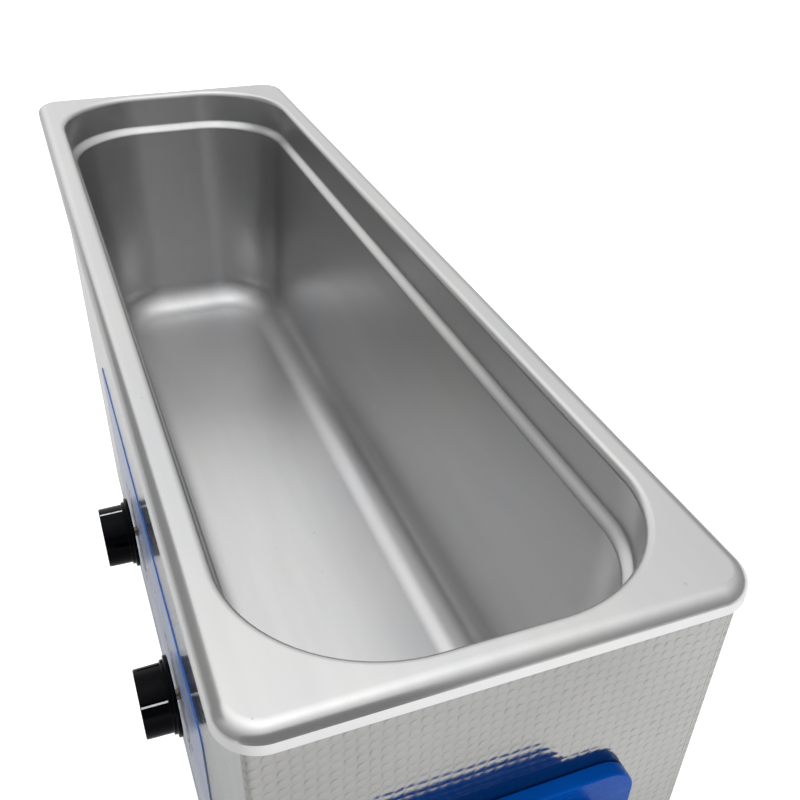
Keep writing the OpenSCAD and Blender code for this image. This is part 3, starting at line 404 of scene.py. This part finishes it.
def round_rect(w, h, r):
    """The outline of a rectangle with round corners."""
    steps = 16
    return (arc(w / 2 - r, h / 2 - r, r, 0, 90, steps) + arc(r - w / 2, h / 2 - r, r, 90, 180, steps)
            + arc(r - w / 2, r - h / 2, r, 180, 270, steps) + arc(w / 2 - r, r - h / 2, r, 270, 360, steps))


def plate(outline, depth):
    """A flat plate from z = 0 to z = depth."""
    return loft([[(x, y, 0) for x, y in outline], [(x, y, depth) for x, y in outline]])


def normals_along(path):
    """The unit normal at each point of a flat path, on the right of the way it runs."""
    normals = []
    for i in range(len(path)):
        a, b = path[max(i - 1, 0)], path[min(i + 1, len(path) - 1)]
        t = np.array([b[0] - a[0], b[1] - a[1]])
        t = t / np.linalg.norm(t)
        normals.append((t[1], -t[0]))
    return normals


def frame_of(origin, x_axis, y_axis):
    """The matrix that takes a piece's own axes to a place on the object."""
    x, y = Vector(x_axis), Vector(y_axis)
    turned = Matrix((x, y, x.cross(y))).transposed().to_4x4()
    return Matrix.Translation(Vector(origin) * MM) @ turned


# ---------------------------------------------------------------- tank

def tank_rings():
    """The tank's whole surface, from the floor's edge over the rim and back underneath.

    Heights are from the rim's top. A base is half a length, half a width and a corner's radius.
    """
    throat, rim = (254, 68.5, 50), (265, 81, 14)
    sheet = 1
    mouth_r, roll_r, skirt_r, edge_r = 3, 6, 4.5, 0.35
    roll_end, skirt_h = 22, 8
    ledge_in, ledge_low, ledge_h = 4, -23.4, 4.8
    depth, draft, fillet = 150, 3, 20
    fillet_z = fillet - depth
    fillet_in = ledge_in + (ledge_low - fillet_z) * math.tan(math.radians(draft)) + fillet
    ledge_steps, corner_steps = 12, 20

    def ring(base, out, z):
        return base[0] + out, base[1] + out, base[2] + out, z

    def turn(base, r, start, end, steps, cx, cz):
        for i in range(steps + 1):
            a = math.radians(start + (end - start) * i / steps)
            yield ring(base, cx + r * math.cos(a), cz + r * math.sin(a))

    def ledge(out, dz, back):
        for i in range(ledge_steps + 1):
            t = 1 - i / ledge_steps if back else i / ledge_steps
            step_in = ledge_in * (1 + math.cos(math.pi * t)) / 2
            yield ring(throat, out - step_in, ledge_low + ledge_h * t + dz)

    rings = [
        # Inside, from the floor up to the mouth.
        *turn(throat, fillet, -90, 0, 16, -fillet_in, fillet_z),
        *ledge(0, 0, False),
        *turn(throat, mouth_r, 180, 90, 10, mouth_r, -mouth_r),
        # Over the rim, down its skirt and round the skirt's edge.
        *turn(rim, roll_r, 90, roll_end, 12, -roll_r * math.cos(math.radians(roll_end)), -roll_r),
        *turn(rim, edge_r, 0, -90, 3, -edge_r, edge_r - skirt_h),
        *turn(rim, edge_r, -90, -180, 3, edge_r - sheet, edge_r - skirt_h),
        # Back underneath, a sheet's thickness away.
        *turn(rim, skirt_r - sheet, 0, 90, 6, -skirt_r, -skirt_r),
        *turn(throat, mouth_r - sheet, 90, 180, 5, mouth_r, -mouth_r),
        *ledge(sheet, -sheet / 2, True),
        *turn(throat, fillet + sheet, 0, -90, 10, -fillet_in, fillet_z),
    ]
    corners = [(1, 1, 0), (-1, 1, 90), (-1, -1, 180), (1, -1, 270)]
    for half_x, half_y, r, z in rings:
        loop = []
        for sx, sy, start in corners:
            for i in range(corner_steps + 1):
                a = math.radians(start + 90 * i / corner_steps)
                x, y = sx * (half_x - r) + r * math.cos(a), BODY_Y + sy * (half_y - r) + r * math.sin(a)
                loop.append((x, y, RIM_Z + z))
        yield loop


finish_mesh("tank_shell", *loft(list(tank_rings())), "satin_steel", "housing", ["tank"], crease=18)


# ---------------------------------------------------------------- handles

# Heights on a handle are from its top, and this is its lower end.
HANDLE_LOW = -52


def handle_base():
    """The base's outline seen from the end, with the notch where fingers reach up into the cup."""
    half, corner, thick = 50, 12, 5.5
    notch, notch_top, notch_corner = 35, -14, 7
    side, notch_side = half - corner, notch - notch_corner
    outline = [
        (-notch, HANDLE_LOW), *arc(-side, HANDLE_LOW + corner, corner, 270, 180),
        *arc(-side, -corner, corner, 180, 90), *arc(side, -corner, corner, 90, 0),
        *arc(side, HANDLE_LOW + corner, corner, 0, -90), (notch, HANDLE_LOW),
        *arc(notch_side, notch_top - notch_corner, notch_corner, 0, 90),
        *arc(-notch_side, notch_top - notch_corner, notch_corner, 90, 180),
    ]
    return plate(outline, thick)


def cup_rings(inset, start):
    """The cup's surface as open arches: along its side, round its edge and in to its face."""
    half, top, reach, corner = 38 - inset, -11 - inset, 22 - inset, 10 - inset
    round_side, round_top = 14 - inset, 8 - inset
    steps, turn_steps = 6, 12
    upright = top - corner - HANDLE_LOW
    outline = [(half, HANDLE_LOW + upright * i / steps) for i in range(steps + 1)]
    outline += arc(half - corner, top - corner, corner, 0, 90, turn_steps)[1:]
    outline += [((half - corner) * (1 - i / steps), top) for i in range(1, steps + 1)]
    outline += [(-y, z) for y, z in reversed(outline[:-1])]
    normals = normals_along(outline)
    rings = [[(y, z, start) for y, z in outline]]
    for k in range(turn_steps + 1):
        a = math.radians(90 * k / turn_steps)
        ring = []
        for (y, z), (ny, nz) in zip(outline, normals):
            side, rise = round_side * (1 - math.cos(a)), round_top * (1 - math.cos(a))
            out = round_side * ny * ny + round_top * nz * nz
            ring.append((y - ny * side, z - nz * rise, reach - out * (1 - math.sin(a))))
        rings.append(ring)
    return rings


def cup():
    """A cup with a wall, open underneath and towards the housing."""
    wall, outer_start, inner_start = 3, 5.0, 0.6
    outer, inner = cup_rings(0, outer_start), cup_rings(wall, inner_start)
    n, last = len(outer[0]), len(outer) - 1
    points = [p for ring in outer + inner for p in ring]

    def at(shell, k, i):
        return (shell * len(outer) + k) * n + i

    faces = []

    def quad(*corners):
        faces.append(tuple(at(*corner) for corner in corners))

    for shell in (0, 1):
        for k in range(last):
            for i in range(n - 1):
                quad((shell, k, i), (shell, k, i + 1), (shell, k + 1, i + 1), (shell, k + 1, i))
        # Across the face, from one leg of the arch to the other.
        for i in range(n // 2):
            j = n - 1 - i
            quad((shell, last, i), (shell, last, i + 1), (shell, last, j - 1), (shell, last, j))
    # The wall's edge, underneath and towards the housing.
    for k in range(last):
        for i in (0, n - 1):
            quad((0, k, i), (0, k + 1, i), (1, k + 1, i), (1, k, i))
    quad((0, last, 0), (0, last, n - 1), (1, last, n - 1), (1, last, 0))
    for i in range(n - 1):
        quad((0, 0, i), (0, 0, i + 1), (1, 0, i + 1), (1, 0, i))
    clean = [tuple(dict.fromkeys(f)) for f in faces if len({points[i] for i in f}) > 2]
    return points, clean


for side, name in ((1, "right"), (-1, "left")):
    place = frame_of((side * END_X, BODY_Y, HANDLE_TOP), (0, side, 0), (0, 0, 1))
    finish_mesh(f"handle_{name}_base", *handle_base(), "blue_plastic", "housing", [f"handle_{name}"],
                place=place, round_edge=0.8)
    finish_mesh(f"handle_{name}_cup", *cup(), "blue_plastic", "housing",
                place=place, crease=40, round_edge=0.5)


# ---------------------------------------------------------------- knobs

# (radius, height) from the middle of the knob's back to the middle of its face.
KNOB_PROFILE = [
    (0, 0), (20.6, 0),
    # The skirt's edge, and two steps in to the grip.
    *arc(21.5, 0.5, 0.5, -90, 0, 4), *arc(21.5, 1.8, 0.5, 0, 90, 4), (20.2, 2.3), (20.0, 2.5),
    *arc(19.7, 3.9, 0.3, 0, 90, 3), (18.95, 4.2), (18.75, 4.4),
    # The grip's front edge and its sunk face.
    *arc(17.7, 17.7, 0.8, 0, 90, 6), (16.9, 18.5), (16.5, 18.35), (16.1, 18.1), (8, 18.05), (0, 18.05),
]


def pointer():
    """A white line let into the grip's side and face."""
    half, sunk, proud = 0.5, -0.5, 0.05
    path = [
        (18.78, 4.5), (18.64, 10), (18.51, 17.1), (18.44, 17.95),
        (17.75, 18.5), (16.9, 18.52), (16.1, 18.14), (6, 18.07),
    ]
    section = [(sunk, -half), (proud, -half), (proud, half), (sunk, half)]
    rings = []
    for (r, z), (nr, nz) in zip(path, normals_along(path)):
        rings.append([(r + nr * out, along, z + nz * out) for out, along in section])
    return loft(rings)


for body, x, angle in (("timer", TIMER_X, 0), ("thermostat", THERMOSTAT_X, THERMOSTAT_ANGLE)):
    a = math.radians(angle)
    place = frame_of((x, KNOB_Y, KNOB_Z), (math.sin(a), 0, math.cos(a)), (-math.cos(a), 0, math.sin(a)))
    finish_mesh(f"{body}_grip", *revolve(KNOB_PROFILE, steps=144), "black_plastic", body,
                [f"{body}_knob"], place=place, crease=30)
    finish_mesh(f"{body}_line", *pointer(), "white_inlay", body, [f"{body}_pointer"],
                place=place, crease=30)


# ---------------------------------------------------------------- label

# Heights over the label's back. The printing starts inside the film and ends just above it.
BORDER_Z = (0.45, 0.54)
PRINT_Z = (0.48, 0.55)


def label_outline(inset):
    """The label's edge, moved in by inset."""
    w, h = LABEL_SIZE
    return round_rect(w - 2 * inset, h - 2 * inset, LABEL_CORNER - inset)


def ribbon(outer, inner, z0, z1):
    """A flat closed band between two outlines."""
    section = [(outer, z0), (outer, z1), (inner, z1), (inner, z0), (outer, z0)]
    return loft([[(x, y, z) for x, y in line] for line, z in section], caps=False)


def dial_ticks():
    """Ticks round both knobs, each fifth one longer and wider."""
    step, count = 10, 31
    near, short, long = 24.2, (26.2, 0.2), (27.6, 0.38)
    quads = [(0, 1, 2, 3), (4, 5, 6, 7), (0, 1, 5, 4), (1, 2, 6, 5), (2, 3, 7, 6), (3, 0, 4, 7)]
    points, faces = [], []
    for x in (TIMER_X, THERMOSTAT_X):
        for k in range(count):
            a = math.radians(step * k)
            right, up = math.sin(a), math.cos(a)
            far, half = short if k % 5 else long
            start = len(points)
            for z in PRINT_Z:
                for r, t in ((near, -half), (far, -half), (far, half), (near, half)):
                    points.append((x + r * right + t * up, KNOB_Z - LABEL_Z + r * up - t * right, z))
            faces += [tuple(start + i for i in q) for q in quads]
    return points, faces


def dial_numbers():
    """Numbers round both dials."""
    step, size, r = 50, 5.2, 32.0
    low, high = PRINT_Z
    points, faces = [], []
    marks = [(TIMER_X, step * k, str(5 * k)) for k in range(7)]
    marks += [(THERMOSTAT_X, step * k, t) for k, t in enumerate(["0", "30", "40", "50", "60", "70", "80"])]
    for x, degrees, text in marks:
        a = math.radians(degrees)
        curve = bpy.data.curves.new("number", "FONT")
        curve.body = text
        curve.size = size
        curve.extrude = (high - low) / 2
        curve.align_x, curve.align_y = "CENTER", "CENTER"
        holder = bpy.data.objects.new("number", curve)
        bpy.context.scene.collection.objects.link(holder)
        bpy.context.view_layer.update()
        shape = bpy.data.meshes.new_from_object(holder.evaluated_get(bpy.context.evaluated_depsgraph_get()))
        middle = (x + r * math.sin(a), KNOB_Z - LABEL_Z + r * math.cos(a), (low + high) / 2)
        start = len(points)
        points += [tuple(m + c for m, c in zip(middle, v.co)) for v in shape.vertices]
        faces += [tuple(start + i for i in p.vertices) for p in shape.polygons]
        bpy.data.objects.remove(holder)
        bpy.data.curves.remove(curve)
        bpy.data.meshes.remove(shape)
    return points, faces


label_place = frame_of((0, FRONT_Y, LABEL_Z), (1, 0, 0), (0, 0, 1))
finish_mesh("label_panel", *plate(label_outline(0), LABEL_THICK), "label_film", "housing", ["front_label"],
            place=label_place, round_edge=0.15)
finish_mesh("label_border", *ribbon(label_outline(0.1), label_outline(1), *BORDER_Z), "label_film",
            "housing", look="border_ink", place=label_place)
finish_mesh("dial_ticks", *dial_ticks(), "label_film", "housing", look="print_ink", place=label_place)
finish_mesh("dial_numbers", *dial_numbers(), "label_film", "housing", look="print_ink", place=label_place)

# A lens is a short cylinder under a low dome. Both lamps are one CAD node, and the first lens replaces it.
LENS_PROFILE = [(0, 0), (3, 0), (3, 0.5), *arc(0, -9.2, 10.15, 74, 90, 6)]
for i, (x, z) in enumerate(LAMPS):
    place = frame_of((x, FRONT_Y, z), (1, 0, 0), (0, 0, 1))
    finish_mesh(f"pilot_lens_{i + 1}", *revolve(LENS_PROFILE, steps=48), "lamp_lens", "housing",
                ["pilot_lamps"] if i == 0 else (), place=place, crease=40)


# ---------------------------------------------------------------- floor, light and camera

def floor(name, z, level, glow, glow_by_end, **seen):
    """A large pale disc. Its glow grows past the end of the object that faces the camera."""
    sides, radius = 64, 12000
    loop = [(x, y, z) for x, y in arc(0, 0, radius, 0, 360, sides)[:-1]]
    mesh = mesh_in_mm(name, loop, [tuple(range(sides))])
    look = Look(name + "_paint", 0.0, 0.9, Specular_IOR_Level=0.0, Emission_Color=(1, 1, 1, 1))
    paint = look.ramp(look.noise(6, 3), [(0.3, (level,) * 3), (0.7, (level + 0.02,) * 3)])
    place = look.node("ShaderNodeSeparateXYZ", {0: look.coords}).outputs
    past_end = look.math("ADD", place["X"], look.math("MULTIPLY", place["Y"], 0.5))
    brighter = look.spread(past_end, glow, glow_by_end, 0.22, 0.52)
    mesh.materials.append(look.wear(Base_Color=paint, Emission_Strength=brighter))
    made = bpy.data.objects.new(name, mesh)
    bpy.context.scene.collection.objects.link(made)
    for key, value in seen.items():
        setattr(made, "visible_" + key, value)


def sky():
    """White to the camera. Everything else sees a studio bright overhead and behind the object."""
    world = bpy.data.worlds.new("studio")
    world.use_nodes = True
    bpy.context.scene.world = world
    tree = world.node_tree
    tree.nodes.clear()
    new, link = tree.nodes.new, tree.links.new
    coords = new("ShaderNodeTexCoord")

    def toward(direction, stops):
        """A grey level by the cosine of the angle from a direction."""
        dot, ramp, half = new("ShaderNodeVectorMath"), new("ShaderNodeValToRGB"), new("ShaderNodeMath")
        dot.operation = "DOT_PRODUCT"
        dot.inputs[1].default_value = Vector(direction).normalized() * 0.5
        half.inputs[1].default_value = 0.5
        link(coords.outputs["Generated"], dot.inputs[0])
        link(dot.outputs["Value"], half.inputs[0])
        link(half.outputs[0], ramp.inputs["Fac"])
        elements = ramp.color_ramp.elements
        while len(elements) < len(stops):
            elements.new(0.5)
        for element, (cosine, level) in zip(elements, stops):
            element.position = (cosine + 1) / 2
            element.color = (level, level, level, 1)
        return ramp.outputs["Color"]

    both = new("ShaderNodeMix")
    both.data_type, both.blend_type = "RGBA", "ADD"
    both.inputs[0].default_value = 1
    link(toward((0, 0, 1), OVERHEAD), both.inputs[6])
    link(toward((-1, -0.15, 0.35), BEHIND), both.inputs[7])
    studio, seen = new("ShaderNodeBackground"), new("ShaderNodeBackground")
    pick = new("ShaderNodeMixShader")
    link(both.outputs[2], studio.inputs["Color"])
    seen.inputs["Color"].default_value = (1, 1, 1, 1)
    link(new("ShaderNodeLightPath").outputs["Is Camera Ray"], pick.inputs["Fac"])
    link(studio.outputs[0], pick.inputs[1])
    link(seen.outputs[0], pick.inputs[2])
    link(pick.outputs[0], new("ShaderNodeOutputWorld").inputs["Surface"])


def card(name, corners, grey, glow):
    """A card that only reflections see."""
    mesh = mesh_in_mm(name, corners, [(0, 1, 2, 3)])
    look = Look(name + "_cloth", 0.0, 1.0, Specular_IOR_Level=0.0,
                Emission_Color=(1, 1, 1, 1), Emission_Strength=glow)
    cloth = look.ramp(look.noise(30, 3), [(0.3, (grey * 0.9,) * 3), (0.7, (grey * 1.1,) * 3)])
    mesh.materials.append(look.wear(Base_Color=cloth))
    made = bpy.data.objects.new(name, mesh)
    bpy.context.scene.collection.objects.link(made)
    made.visible_camera = made.visible_shadow = made.visible_diffuse = False


def softbox(name, place, size, power):
    """A large soft light, aimed at the object. Its place and size are in metres."""
    target = Vector((0, 0, 0.2))
    light = bpy.data.lights.new(name, "AREA")
    light.shape = "RECTANGLE"
    light.size, light.size_y = size
    light.energy = power
    made = bpy.data.objects.new(name, light)
    made.location = place
    made.visible_glossy = False
    made.rotation_euler = (target - Vector(place)).to_track_quat("-Z", "Y").to_euler()
    bpy.context.scene.collection.objects.link(made)


# Grey levels of the studio by the cosine of the angle from straight up, and from behind the far end.
OVERHEAD = [(-1, 0.30), (0.0, 0.26), (0.5, 0.47), (0.75, 0.76), (0.9, 1.06), (0.97, 1.38), (1.0, 1.70)]
BEHIND = [(0.0, 0.0), (0.45, 0.05), (0.80, 0.37), (0.90, 0.42), (0.95, 0.42), (0.985, 0.62), (1.0, 0.68)]
floor("floor", z=0, level=0.8, glow=0.5, glow_by_end=0.5,
      glossy=False, diffuse=False, transmission=False, shadow=False)
floor("floor_in_reflections", z=-0.5, level=0.57, glow=0.0, glow_by_end=0.50, camera=False)
sky()
# Darker places in what the metal reflects: one past the near end, and one out in front of the far half.
card("dark_card", [(430, -300, 275), (430, 40, 275), (430, 40, 490), (430, -300, 490)],
     grey=0.02, glow=0.22)
card("grey_card", [(-680, -330, 400), (0, -950, 400), (0, -950, 1200), (-680, -330, 1200)],
     grey=0.08, glow=0.24)
softbox("top_light", place=(-0.3, -0.3, 2.6), size=(3.2, 2.4), power=40)
softbox("front_light", place=(-1.2, -2.2, 1.6), size=(1.6, 1.2), power=14)

# The photograph's camera, fitted to the edges of the rim, the tank and the housing. Metres and radians.
camera = bpy.data.objects.new("camera", bpy.data.cameras.new("camera"))
bpy.context.scene.collection.objects.link(camera)
camera.location = (0.40523, -0.08809, 0.51277)
camera.rotation_euler = (0.92870, -0.02520, 1.19870)
camera.data.lens = 42.43
camera.data.sensor_width = 36
camera.data.shift_x = 0.0058
camera.data.shift_y = 0.0649
camera.data.clip_start = 0.01
bpy.context.scene.camera = camera
bpy.context.scene.view_settings.view_transform = "Standard"
